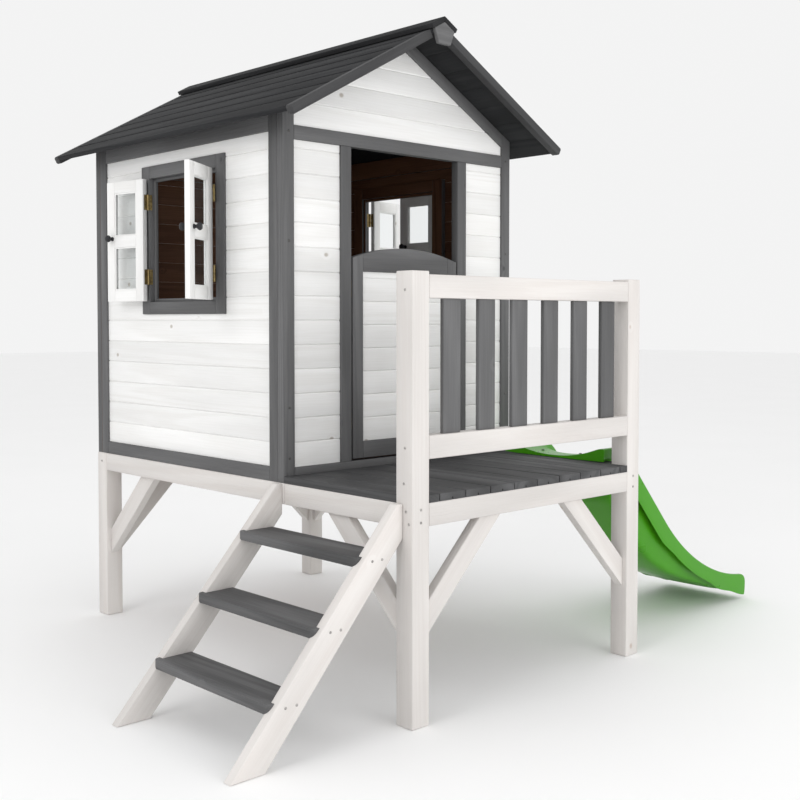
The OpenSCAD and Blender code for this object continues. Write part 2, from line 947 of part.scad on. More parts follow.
// The rim line from the deck to the tip, as [x, z, slope] at a length s along it.
function on_lead(s) = [slide_x0 + s, rim_z, 0];
function on_bend(s) =
    let (a = s / bend_top_r * 180 / PI)
    [bend_x + bend_top_r * sin(a), rim_z - bend_top_r * (1 - cos(a)), a];
function on_straight(s) =
    [straight_x + s * cos(slide_pitch), straight_z - s * sin(slide_pitch), slide_pitch];
function on_foot(s) =
    let (a = slide_pitch - s / bend_foot_r * 180 / PI)
    [foot_x + bend_foot_r * (sin(slide_pitch) - sin(a)),
     foot_z - bend_foot_r * (cos(a) - cos(slide_pitch)), a];
function rim_at(s) =
    s < lead_len ? on_lead(s)
    : s < lead_len + bend_len ? on_bend(s - lead_len)
    : s < rim_len - foot_len ? on_straight(s - lead_len - bend_len)
    : on_foot(s - rim_len + foot_len);

// A smooth change from a to b as t goes from 0 to 1.
function ease(a, b, t) = let (u = min(1, max(0, t))) a + (b - a) * u * u * (3 - 2 * u);
// How far the section has changed from the bowl on the deck to the trough on the slope.
function turned(s) = ease(0, 1, (s - lip_len) / 220);
function half_width(s) = ease(slide_w / 2, slide_run_w / 2, (s - lip_len) / 150);
// Depth of the trough under the rim line.
function trough_depth(s) =
    s < 300 ? ease(slide_rise - 1, trough_d, (s - lip_len) / (300 - lip_len))
    : ease(trough_d, trough_foot_d, (s - 480) / 420);
// How far the rims drop at the rounded tip.
function tip_drop(s) =
    let (over = min(tip_r * 0.98, max(0, s - rim_len + tip_r)))
    tip_r - sqrt(tip_r * tip_r - over * over);
// Height of the outer skirts of the rims.
function skirt_depth(s) =
    ease(34, 58, (s - lip_len) / 150) - ease(0, 10, (s - 540) / 100)
    + ease(0, 12, (s - 850) / 100) + ease(0, 14, (s - rim_len + 100) / 100);
// The trough's underside as [across, depth]: a shallow bowl on the deck turns into a flat
// floor with rounded corners and steep sides on the slope.
function trough_points(s) =
    let (d = trough_depth(s), half = half_width(s), k = turned(s),
         bowl = [0.2, 0.47, 0.61, 0.74], flat_at = [0.32, 0.66, 0.76, 0.8],
         up = [0, 0.012, 0.07, 0.2])
    [for (i = [0 : 3])
        let (across = bowl[i] + (flat_at[i] - bowl[i]) * k, curved = d * (1 - across * across))
        [across * half, curved + (d * (1 - up[i]) - curved) * k]];

// One half of the cross-section's outline, from near the middle of the floor's underside
// out to the rim's lower edge, then back over the rim to the floor's top.
// Each point is [across, depth under the rim line].
function half_section(s) =
    let (half = half_width(s), top = half - 13, drop = tip_drop(s), k = turned(s), t = slide_t,
         low = trough_points(s), skirt = skirt_depth(s), inward = [0, 1, 3.5, 5],
         upward = [t, t, t - 1.5, 1.5])
    concat(s > end_t ? concat(low, outer_side(s, half, top, drop, k, skirt)) : end_wall(half),
           [[half, drop + 4], [half - 1.5, drop + 1], [half - 5, drop], [top, drop],
            [top - 5, drop + 1.5], [top - 9, drop + 2 + 10 * k]],
           [for (i = [3 : -1 : 0])
               low[i] - [i * 0.8 + (inward[i] - i * 0.8) * k, t + (upward[i] - t) * k]]);

// The outside of the flank, the rim's underside and the skirt.
function outer_side(s, half, top, drop, k, skirt) =
    [[top - 11 + 7 * k, drop + 7 + 9 * k], [top - 5 + 4.5 * k, drop + 5 + 2 * k],
     [half - slide_t, drop + slide_t + 3], [half - slide_t, skirt], [half, skirt]];

// The end wall's lower edge on the deck, bowed by a hair.
function end_wall(half) =
    [for (x = [0.2, 0.4, 0.6, 0.74, 0.85, 0.91, 0.95, 0.98, 1])
        [x * half, slide_rise - 1 - 1.5 * x * x]];

function section(s) =
    let (right = half_section(s), n = len(right),
         left = [for (i = [n - 1 : -1 : 0]) [-right[i][0], right[i][1]]])
    concat(right, left);

// A section point in space: depth runs square to the rim line.
function section_point(s, p) =
    let (rim = rim_at(s), a = rim[2])
    [rim[0] - p[1] * sin(a), slide_y + p[0], rim[1] - p[1] * cos(a)];

module slide() {
    n = len(section(0));
    m = len(slide_steps);
    points = [for (s = slide_steps) for (p = section(s)) section_point(s, p)];
    sides = [for (i = [0 : m - 2]) for (j = [0 : n - 1])
                let (k = (j + 1) % n)
                each [[i * n + j, i * n + k, (i + 1) * n + k],
                      [i * n + j, (i + 1) * n + k, (i + 1) * n + j]]];
    caps = [[for (j = [n - 1 : -1 : 0]) j], [for (j = [0 : n - 1]) (m - 1) * n + j]];
    placed(GREEN) polyhedron(points, concat(sides, caps), convexity = 8);
}

// ---- screws ----

// A round head lying on a surface, drawn along +Z.
module screw_head(r) {
    rotate_extrude() polygon([[0, 0], [r, 0], [r * 0.8, r * 0.35], [0, r * 0.5]]);
}

module slide_screws() {
    across = 75 / (slide_w / 2);
    placed("silver") for (side = [-1, 1])
        translate([slide_x0 + 45, slide_y + side * 75,
                   rim_z + slide_t + 1.3 - (slide_rise - 1) * (1 - across * across)])
            rotate([side * 8, 0, 0]) screw_head(5);
}

// Heads facing -X on the left side, at [y, z].
left_heads = [[-deck_d + 30, beam_top + 50], [-deck_d + 22, beam_z + 40],
              [-deck_d + 12, beam_z + 10], [-deck_d + 26, rail_top_z + 20],
              [-deck_d + 26, rail_low_z + 30], [house_d - 29, beam_z + 30]];
// Heads facing -Y on the front posts and corner stiles, at [x, y, z].
front_heads = [[leg_in + 29, -deck_d, beam_z + 12], [leg_in + 29, -deck_d, beam_z + 44]];
stile_heads = [[half_house - 20, 0, 1220], [half_house - 20, 0, 760],
               [half_house - 20, 0, header_z + 20], [half_house - 20, 0, 620]];

module wood_screws() {
    placed("silver") both_sides() {
        for (h = left_heads) translate([-half_base, h[0], h[1]]) rotate([0, -90, 0])
            screw_head(3.5);
        for (h = concat(front_heads, stile_heads)) translate(h) rotate([90, 0, 0])
            screw_head(3.5);
    }
}

leg_rear_left();
leg_rear_right();
post_front_left();
post_front_right();
beam_front();
beam_middle();
beam_rear();
deck_side_beams();
house_side_beams();
braces();
deck_boards();
floor_boards();
railing_rails();
railing_slats();
front_wall_frame();
front_wall_boards();
front_gable_boards();
rear_wall_frame();
rear_wall_boards();
rear_gable_boards();
left_wall_frame();
left_wall_boards();
right_wall_frame();
right_wall_boards();
left_window_frame();
right_window_frame();
left_near_casement();
left_far_casement();
right_near_casement();
right_far_casement();
left_near_panes();
left_far_panes();
right_near_panes();
right_far_panes();
left_near_knob();
left_far_knob();
right_near_knob();
right_far_knob();
hinge_fixed_leaves();
hinge_pins();
left_near_hinge_leaves();
left_far_hinge_leaves();
right_near_hinge_leaves();
right_far_hinge_leaves();
door_hinge_leaves();
door_frame();
door_boards();
roof_boards_left();
roof_boards_right();
verge_boards();
roof_battens();
ridge_cap();
ridge_end_blocks();
ladder_side_left();
ladder_side_right();
ladder_treads();
slide();
slide_screws();
wood_screws();
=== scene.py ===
"""The looks of a raised wooden playhouse with a moulded slide, built round its CAD model."""
import json
import math
import random

import bmesh
import bpy
from mathutils import Matrix, Vector

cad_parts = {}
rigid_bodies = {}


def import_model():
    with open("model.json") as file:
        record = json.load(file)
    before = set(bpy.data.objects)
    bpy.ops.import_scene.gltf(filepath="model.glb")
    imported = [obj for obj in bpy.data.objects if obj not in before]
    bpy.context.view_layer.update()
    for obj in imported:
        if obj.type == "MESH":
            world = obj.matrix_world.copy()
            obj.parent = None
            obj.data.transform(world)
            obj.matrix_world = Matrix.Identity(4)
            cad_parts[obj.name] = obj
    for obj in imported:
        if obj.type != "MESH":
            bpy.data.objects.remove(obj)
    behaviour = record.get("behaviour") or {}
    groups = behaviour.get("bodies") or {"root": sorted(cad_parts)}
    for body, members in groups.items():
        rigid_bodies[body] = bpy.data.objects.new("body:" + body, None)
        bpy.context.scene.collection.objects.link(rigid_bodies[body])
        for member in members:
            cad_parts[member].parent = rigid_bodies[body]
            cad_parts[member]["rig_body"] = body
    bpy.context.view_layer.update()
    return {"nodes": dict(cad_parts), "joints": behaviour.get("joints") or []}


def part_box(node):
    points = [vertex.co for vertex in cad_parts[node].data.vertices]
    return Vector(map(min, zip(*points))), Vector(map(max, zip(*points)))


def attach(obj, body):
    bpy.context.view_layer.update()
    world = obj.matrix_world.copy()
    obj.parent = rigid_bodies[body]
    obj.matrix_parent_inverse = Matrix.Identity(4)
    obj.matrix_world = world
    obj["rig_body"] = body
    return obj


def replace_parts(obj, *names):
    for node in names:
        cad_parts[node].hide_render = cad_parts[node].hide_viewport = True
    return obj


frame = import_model()
NODES = frame["nodes"]
X, Y, Z = Vector((1, 0, 0)), Vector((0, 1, 0)), Vector((0, 0, 1))
random.seed(7)

RING_PITCH = 0.0085        # distance between two growth rings, in metres
WOOD_SHINE = 0.22          # coated wood reflects less than bare plastic
JOINT_EDGE = 0.0006        # rounding along the V joints of the wall boards
LADDER_SCREW_R = 0.0035


# ---- materials ----

class Shader:
    """One node material: adds nodes and wires them to a Principled shader."""

    def __init__(self, name):
        self.material = bpy.data.materials.new(name)
        self.material.use_nodes = True
        self.tree = self.material.node_tree
        self.tree.nodes.clear()
        self.surface = self.add("ShaderNodeBsdfPrincipled")
        self.out = self.add("ShaderNodeOutputMaterial")
        self.link(self.surface.outputs[0], self.out.inputs["Surface"])

    def add(self, kind, **settings):
        node = self.tree.nodes.new(kind)
        for key, value in settings.items():
            setattr(node, key, value)
        return node

    def link(self, source, socket):
        self.tree.links.new(source, socket)

    def put(self, socket, value):
        """Sets a socket to a number, a colour or another node's output."""
        if isinstance(value, bpy.types.NodeSocket):
            self.link(value, socket)
        else:
            socket.default_value = value

    def math(self, operation, a, b=0.0, clamp=False):
        node = self.add("ShaderNodeMath", operation=operation, use_clamp=clamp)
        self.put(node.inputs[0], a)
        self.put(node.inputs[1], b)
        return node.outputs[0]

    def vector(self, operation, a, b):
        node = self.add("ShaderNodeVectorMath", operation=operation)
        self.put(node.inputs[0], a)
        self.put(node.inputs[1], b)
        return node.outputs["Value" if operation == "LENGTH" else 0]

    def mix(self, amount, a, b, blend="MIX"):
        node = self.add("ShaderNodeMix", data_type="RGBA", blend_type=blend)
        self.put(node.inputs[0], amount)
        self.put(node.inputs[6], a)
        self.put(node.inputs[7], b)
        return node.outputs[2]

    def noise(self, vector, scale=1.0, detail=2.0):
        node = self.add("ShaderNodeTexNoise")
        self.put(node.inputs["Vector"], vector)
        node.inputs["Scale"].default_value = scale
        node.inputs["Detail"].default_value = detail
        node.inputs["Roughness"].default_value = 0.5
        return node

    def spread(self, value, low, high, out_low=0.0, out_high=1.0):
        """Maps low..high to out_low..out_high, smoothly and clamped."""
        node = self.add("ShaderNodeMapRange", interpolation_type="SMOOTHSTEP")
        self.put(node.inputs[0], value)
        for socket, number in zip(node.inputs[1:5], (low, high, out_low, out_high)):
            socket.default_value = number
        return node.outputs[0]

    def bump(self, height, distance):
        node = self.add("ShaderNodeBump")
        node.inputs["Distance"].default_value = distance
        node.inputs["Strength"].default_value = 1.0
        self.put(node.inputs["Height"], height)
        self.link(node.outputs[0], self.surface.inputs["Normal"])


def wood(name, base, grain, knot, contrast, knots, roughness, relief, patches=0.04):
    """Timber under a coat: rings, fibres and knots that follow each board's own direction."""
    shader = Shader(name)
    place = shader.add("ShaderNodeAttribute", attribute_name="grain").outputs["Vector"]
    tone = shader.add("ShaderNodeAttribute", attribute_name="tone").outputs["Fac"]

    spots = shader.add("ShaderNodeTexVoronoi")
    shader.put(spots.inputs["Vector"], shader.vector("MULTIPLY", place, (7.0, 9.0, 9.0)))
    spots.inputs["Scale"].default_value = 1.0
    near_knot = shader.spread(spots.outputs["Distance"], 0.04, 0.17, 1.0, 0.0)
    in_knot = shader.spread(spots.outputs["Distance"], 0.03, 0.075, 1.0, 0.0)

    warp = shader.noise(shader.vector("MULTIPLY", place, (2.5, 16.0, 16.0)))
    bent = shader.vector("MULTIPLY", warp.outputs["Color"], (0.0, 0.016, 0.016))
    across = shader.vector("MULTIPLY", place, (0.012, 1.0, 1.0))
    radius = shader.vector("LENGTH", shader.vector("ADD", across, bent), (0, 0, 0))
    radius = shader.math("ADD", radius, shader.math("MULTIPLY", near_knot, 0.006))
    rings = shader.math("SINE", shader.math("MULTIPLY", radius, 2 * math.pi / RING_PITCH))
    rings = shader.spread(rings, -0.4, 1.0)
    fibre = shader.noise(shader.vector("MULTIPLY", place, (7.0, 420.0, 420.0)), detail=3.0)
    cloud = shader.noise(shader.vector("MULTIPLY", place, (1.6, 11.0, 11.0)), detail=1.0)

    lines = shader.math("MULTIPLY", rings, shader.spread(cloud.outputs[0], 0.3, 0.7, 0.35, 1.0))
    streak = shader.spread(fibre.outputs[0], 0.35, 0.7)
    marks = shader.math("ADD", shader.math("MULTIPLY", lines, 0.6),
                        shader.math("MULTIPLY", streak, 0.4))
    amount = shader.math("MULTIPLY", marks, contrast, clamp=True)
    colour = shader.mix(amount, (*base, 1), (*grain, 1))
    colour = shader.mix(shader.math("MULTIPLY", in_knot, knots), colour, (*knot, 1))
    shade = shader.math("ADD", shader.math("MULTIPLY", tone, 0.05),
                        shader.spread(cloud.outputs[0], 0.3, 0.7, 1 - patches, 1 + patches))
    bright = shader.add("ShaderNodeCombineColor")
    for socket in bright.inputs[:3]:
        shader.link(shade, socket)
    colour = shader.mix(1.0, colour, bright.outputs[0], "MULTIPLY")
    shader.link(colour, shader.surface.inputs["Base Color"])

    shine = shader.math("ADD", shader.math("MULTIPLY", marks, 0.12), roughness)
    shader.link(shine, shader.surface.inputs["Roughness"])
    height = shader.math("SUBTRACT", shader.math("MULTIPLY", streak, 0.6),
                         shader.math("MULTIPLY", lines, 0.5))
    height = shader.math("SUBTRACT", height, in_knot)
    shader.bump(height, relief)
    shader.surface.inputs["Specular IOR Level"].default_value = WOOD_SHINE
    return shader.material


def plastic():
    """Green moulded plastic: an even colour with a faint haze and a slightly wavy skin."""
    shader = Shader("slide_plastic")
    place = shader.add("ShaderNodeTexCoord").outputs["Object"]
    haze = shader.noise(place, scale=7.0, detail=3.0)
    colour = shader.mix(haze.outputs[0], (0.050, 0.27, 0.004, 1), (0.064, 0.32, 0.006, 1))
    shader.link(colour, shader.surface.inputs["Base Color"])
    fine = shader.noise(place, scale=900.0, detail=1.0)
    waves = shader.noise(place, scale=11.0, detail=1.0)
    shine = shader.spread(haze.outputs[0], 0.3, 0.7, 0.27, 0.36)
    shader.link(shine, shader.surface.inputs["Roughness"])
    height = shader.math("ADD", shader.math("MULTIPLY", fine.outputs[0], 0.12),
                         waves.outputs[0])
    shader.bump(height, 0.0006)
    shader.surface.inputs["Specular IOR Level"].default_value = 0.32
    shader.surface.inputs["Subsurface Weight"].default_value = 0.05
    shader.surface.inputs["Subsurface Radius"].default_value = (0.01, 0.02, 0.005)
    return shader.material


def metal(name, colour, dull, roughness, scratches):
    """Metal with brushed streaks and duller patches."""
    shader = Shader(name)
    place = shader.add("ShaderNodeTexCoord").outputs["Object"]
    brushed = shader.noise(shader.vector("MULTIPLY", place, (900.0, 900.0, 120.0)), detail=2.0)
    patch = shader.noise(place, scale=130.0, detail=3.0)
    amount = shader.spread(patch.outputs[0], 0.4, 0.7)
    shader.link(shader.mix(amount, (*colour, 1), (*dull, 1)), shader.surface.inputs["Base Color"])
    shader.surface.inputs["Metallic"].default_value = 1.0
    shine = shader.spread(brushed.outputs[0], 0.2, 0.8, roughness - 0.07, roughness + 0.12)
    shader.link(shine, shader.surface.inputs["Roughness"])
    shader.bump(brushed.outputs[0], scratches)
    return shader.material


def clear_pane():
    """Clear glazing with a very faint ripple and a trace of dust."""
    shader = Shader("clear_pane")
    place = shader.add("ShaderNodeTexCoord").outputs["Object"]
    dust = shader.noise(place, scale=60.0, detail=4.0)
    ripple = shader.noise(place, scale=9.0, detail=1.0)
    shader.surface.inputs["Base Color"].default_value = (0.96, 0.98, 0.98, 1)
    shader.surface.inputs["IOR"].default_value = 1.3
    shader.surface.inputs["Transmission Weight"].default_value = 1.0
    shine = shader.spread(dust.outputs[0], 0.4, 0.8, 0.0, 0.03)
    shader.link(shine, shader.surface.inputs["Roughness"])
    shader.bump(ripple.outputs[0], 0.0002)
    return shader.material


def ground():
    """Pale matt floor with a hint of unevenness."""
    shader = Shader("pale_floor")
    place = shader.add("ShaderNodeTexCoord").outputs["Object"]
    cloud = shader.noise(place, scale=1.4, detail=3.0)
    colour = shader.mix(cloud.outputs[0], (0.93, 0.93, 0.93, 1), (0.96, 0.96, 0.96, 1))
    shader.link(colour, shader.surface.inputs["Base Color"])
    shader.surface.inputs["Roughness"].default_value = 0.85
    return shader.material


WASHED = wood("washed_timber", (0.685, 0.658, 0.636), (0.575, 0.53, 0.50), (0.40, 0.28, 0.21),
              contrast=0.4, knots=0.5, roughness=0.55, relief=0.00035, patches=0.07)
WHITE = wood("white_timber", (0.88, 0.878, 0.87), (0.72, 0.705, 0.675), (0.34, 0.28, 0.22),
             contrast=0.42, knots=0.65, roughness=0.5, relief=0.00025)
GREY = wood("grey_timber", (0.135, 0.135, 0.137), (0.092, 0.092, 0.094), (0.045, 0.045, 0.045),
            contrast=0.7, knots=0.6, roughness=0.55, relief=0.0004, patches=0.18)
DARK = wood("dark_grey_timber", (0.085, 0.085, 0.087), (0.048, 0.049, 0.051),
            (0.022, 0.022, 0.022),
            contrast=0.8, knots=0.6, roughness=0.6, relief=0.0004, patches=0.25)
TREAD = wood("tread_timber", (0.13, 0.13, 0.132), (0.07, 0.07, 0.072), (0.03, 0.03, 0.03),
             contrast=0.8, knots=0.6, roughness=0.6, relief=0.0004, patches=0.3)
# The roof boards take the deck's dark grey set much darker: painted shade, matching how the
# roof's top is lit rather than a different paint.
ROOF_PAINTED_SHADE = wood("roof_timber_painted_shade", (0.027, 0.0275, 0.029), (0.016, 0.0165, 0.018), (0.009, 0.009, 0.009),
            contrast=0.8, knots=0.6, roughness=0.85, relief=0.0004, patches=0.2)
VERGE = wood("verge_timber", (0.062, 0.062, 0.064), (0.040, 0.040, 0.042), (0.025, 0.025, 0.025),
             contrast=0.8, knots=0.5, roughness=0.6, relief=0.0004)
BROWN = wood("brown_timber", (0.16, 0.075, 0.04), (0.08, 0.034, 0.019), (0.03, 0.014, 0.009),
             contrast=0.9, knots=0.8, roughness=0.6, relief=0.0004)
KNOB = wood("knob_paint", (0.03, 0.03, 0.033), (0.02, 0.02, 0.022), (0.015, 0.015, 0.015),
            contrast=0.6, knots=0.0, roughness=0.4, relief=0.0001)
PLASTIC = plastic()
BRASS = metal("brass", (0.36, 0.27, 0.12), (0.20, 0.15, 0.07), 0.4, 0.00005)
STEEL = metal("steel", (0.16, 0.158, 0.153), (0.09, 0.088, 0.085), 0.45, 0.00005)
WASHED_STEEL = metal("washed_steel", (0.50, 0.485, 0.47), (0.33, 0.32, 0.31), 0.6, 0.00005)
PANE = clear_pane()


# ---- mesh helpers ----

def cad_mesh(node):
    """A CAD node's mesh, welded, with its flat triangles turned back into whole faces."""
    bm = bmesh.new()
    bm.from_mesh(NODES[node].data)
    bmesh.ops.remove_doubles(bm, verts=bm.verts, dist=1e-5)
    bmesh.ops.dissolve_limit(bm, angle_limit=math.radians(0.4), verts=bm.verts, edges=bm.edges)
    return bm


def islands(bm):
    """The separate solids of a mesh, each as a list of vertices."""
    left = set(bm.verts)
    found = []
    for start in bm.verts:
        if start not in left:
            continue
        left.discard(start)
        group, stack = [start], [start]
        while stack:
            for edge in stack.pop().link_edges:
                for vert in edge.verts:
                    if vert in left:
                        left.discard(vert)
                        group.append(vert)
                        stack.append(vert)
        found.append(group)
    return found


def ease_edges(bm, size, angle=35.0):
    """Rounds the sharp edges, as planing and sanding leave them."""
    sharp = [e for e in bm.edges
             if len(e.link_faces) == 2 and e.calc_face_angle(0) > math.radians(angle)]
    bmesh.ops.bevel(bm, geom=sharp, offset=size, offset_type="OFFSET", segments=2,
                    profile=0.5, affect="EDGES", clamp_overlap=True)


def grain_axes(group, along=None):
    """A board's own axes: along its longest edge, then across the wider way, then the rest."""
    edges = {e for v in group for e in v.link_edges}
    runs = sorted(((e.verts[1].co - e.verts[0].co) for e in edges), key=lambda r: -r.length)
    first = (along or runs[0]).normalized()
    square = [r for r in runs if r.length > 1e-6 and abs(r.normalized().dot(first)) < 0.2]
    second = square[0].normalized() if square else first.orthogonal().normalized()
    third = first.cross(second).normalized()
    return first, third.cross(first), third


def add_grain(bm, along=None):
    """Gives each solid its own grain coordinates and its own tone."""
    grain = bm.verts.layers.float_vector.new("grain")
    tone = bm.verts.layers.float.new("tone")
    groups = islands(bm)
    centre_of = {id(g): sum((v.co for v in g), Vector()) / len(g) for g in groups}
    groups.sort(key=lambda g: tuple(round(c, 4) for c in centre_of[id(g)]))
    for group in groups:
        first, second, third = grain_axes(group, along)
        centre = centre_of[id(group)]
        heart = Vector((random.uniform(0, 40), random.uniform(-0.03, 0.03),
                        random.choice((-1, 1)) * random.uniform(0.02, 0.07)))
        shade = random.uniform(-1, 1)
        for vert in group:
            away = vert.co - centre
            vert[grain] = Vector((away.dot(first), away.dot(second), away.dot(third))) + heart
            vert[tone] = shade


def finished(name, bm, materials, body, smooth=30.0):
    """Makes the object from its mesh, shades it smooth up to an angle, and lets it ride."""
    mesh = bpy.data.meshes.new(name)
    bm.to_mesh(mesh)
    bm.free()
    for material in materials:
        mesh.materials.append(material)
    mesh.shade_smooth()
    mesh.set_sharp_from_angle(angle=math.radians(smooth))
    made = bpy.data.objects.new(name, mesh)
    bpy.context.scene.collection.objects.link(made)
    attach(made, body)
    return made


def body_of(node):
    """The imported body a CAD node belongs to."""
    return NODES[node]["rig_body"]


def timber(node, material, along=None, edge=0.0015, indoors=None):
    """A CAD node's boards with eased edges, their own grain and stained indoor faces."""
    bm = cad_mesh(node)
    ease_edges(bm, edge)
    add_grain(bm, along)
    materials = [material]
    if indoors:
        materials.append(BROWN)
        for face in bm.faces:
            face.material_index = 1 if face.normal.dot(indoors) > 0.9 else 0
    made = finished(node + "_wood", bm, materials, body_of(node))
    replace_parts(made, node)


def slab(bm, low, high):
    """A box between two corners."""
    size = high - low
    place = Matrix.Translation((low + high) / 2) @ Matrix.Diagonal((*size, 1))
    bmesh.ops.create_cube(bm, size=1.0, matrix=place)


# ---- boarded walls ----

def joint_heights(bm, across):
    """Heights of the V joints: the vertices between a panel's two faces lie in them."""
    depths = [v.co.dot(across) for v in bm.verts]
    low, high = min(depths), max(depths)
    inside = {round(v.co.z, 4) for v, d in zip(bm.verts, depths) if low + 5e-4 < d < high - 5e-4}
    return sorted(inside)


def boarding(node, outward, along):
    """A panel cut into its boards at the V joints, coated outside and stained inside."""
    bm = cad_mesh(node)
    for height in joint_heights(bm, outward):
        cut = bmesh.ops.bisect_plane(bm, geom=bm.verts[:] + bm.edges[:] + bm.faces[:],
                                     plane_co=(0, 0, height), plane_no=(0, 0, 1), dist=1e-6)
        rim = [e for e in cut["geom_cut"] if isinstance(e, bmesh.types.BMEdge)]
        bmesh.ops.split_edges(bm, edges=rim)
    open_rims = [e for e in bm.edges if len(e.link_faces) == 1]
    bmesh.ops.holes_fill(bm, edges=open_rims, sides=0)
    bmesh.ops.recalc_face_normals(bm, faces=bm.faces)
    ease_edges(bm, JOINT_EDGE, angle=30.0)
    add_grain(bm, along)
    for face in bm.faces:
        face.material_index = 1 if face.normal.dot(outward) < -0.7 else 0
    made = finished(node + "_wood", bm, [WHITE, BROWN], body_of(node))
    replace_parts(made, node)


# ---- casements ----

def rest_turn(joint):
    """The turn that takes a leaf from closed to where it stands."""
    pin = Vector(joint["pos_m"])
    angle = math.radians(-joint["range_deg"][0])
    turn = Matrix.Rotation(angle, 4, Vector(joint["axis"]))
    return Matrix.Translation(pin) @ turn @ Matrix.Translation(-pin)


def closed_box(node, turn):
    """The box a node fills when its leaf is closed."""
    back = turn.inverted()
    points = [back @ v.co for v in NODES[node].data.vertices]
    low = Vector(min(p[i] for p in points) for i in range(3))
    high = Vector(max(p[i] for p in points) for i in range(3))
    return low, high


def pane_boxes(node, turn):
    """The two panes of a closed casement, lower first."""
    low, high = closed_box(node, turn)
    back = turn.inverted()
    heights = sorted({round((back @ v.co).z, 4) for v in NODES[node].data.vertices})
    return [(Vector((low.x, low.y, heights[0])), Vector((high.x, high.y, heights[1]))),
            (Vector((low.x, low.y, heights[2])), Vector((high.x, high.y, heights[3])))]


def casement(prefix):
    """Two stiles and three rails, with a small moulding round each pane."""
    joint = next(j for j in frame["joints"] if j["child"] == prefix + "_window")
    turn = rest_turn(joint)
    node = prefix + "_casement"
    low, high = closed_box(node, turn)
    (pane_low, pane_1), (pane_2, pane_high) = pane_boxes(prefix + "_panes", turn)
    rebate = 0.005
    y0, y1 = pane_low.y + rebate, pane_high.y - rebate
    bm = bmesh.new()
    seam = 0.0001
    slab(bm, low, Vector((high.x, y0, high.z)))
    slab(bm, Vector((low.x, y1, low.z)), high)
    levels = [low.z, pane_low.z + rebate, pane_1.z - rebate,
              pane_2.z + rebate, pane_high.z - rebate, high.z]
    for z0, z1 in zip(levels[::2], levels[1::2]):
        slab(bm, Vector((low.x, y0 + seam, z0)), Vector((high.x, y1 - seam, z1)))
    ease_edges(bm, 0.0016)
    add_bead(bm, low.x, high.x, y0, y1, levels)
    add_grain(bm)
    bmesh.ops.transform(bm, matrix=turn, verts=bm.verts)
    made = finished(node + "_wood", bm, [WHITE], body_of(node))
    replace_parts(made, node)


def add_bead(bm, x0, x1, y0, y1, levels):
    """Thin glazing beads inside each light, on both faces of the pane."""
    width, depth = 0.004, 0.0035
    for z0, z1 in ((levels[1], levels[2]), (levels[3], levels[4])):
        for face, inward in ((x0, 1), (x1, -1)):
            back = face + inward * 0.003
            near, far = sorted((back, back + inward * depth))
            sides = [(y0, y0 + width, z0, z1), (y1 - width, y1, z0, z1),
                     (y0 + width, y1 - width, z0, z0 + width),
                     (y0 + width, y1 - width, z1 - width, z1)]
            for ya, yb, za, zb in sides:
                slab(bm, Vector((near, ya, za)), Vector((far, yb, zb)))


# ---- slide ----

def ease(a, b, t):
    """Goes smoothly from a to b as t goes from 0 to 1, and stays there outside."""
    u = min(1.0, max(0.0, t))
    return a + (b - a) * u * u * (3 - 2 * u)


